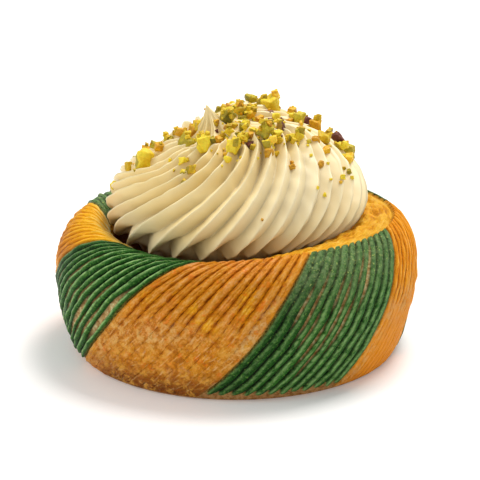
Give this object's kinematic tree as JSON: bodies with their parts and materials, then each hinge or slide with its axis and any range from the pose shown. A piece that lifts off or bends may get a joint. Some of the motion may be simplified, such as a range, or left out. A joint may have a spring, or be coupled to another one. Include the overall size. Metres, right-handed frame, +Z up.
{
  "type": "danish pastry",
  "caption": "Round laminated pastry with slanted green and golden cords, a piped swirl of cream in its hollow and chopped pistachio on top.",
  "frame": {"origin": "the centre of the bun's flat underside, on the surface that it stands on", "axes": "+Z up, -Y towards the front shown in the picture, +X to its right"},
  "size_m": [0.1054, 0.1043, 0.0719],
  "materials": {
    "crust": "baked laminated dough, golden and green, satin with a thin glaze",
    "cream": "smooth piped cream, satin",
    "pistachio": "chopped nut, matt broken faces with purple and brown skins"
  },
  "bodies": {
    "root": {"bun": "crust", "cream": "cream"}
  },
  "joints": []
}
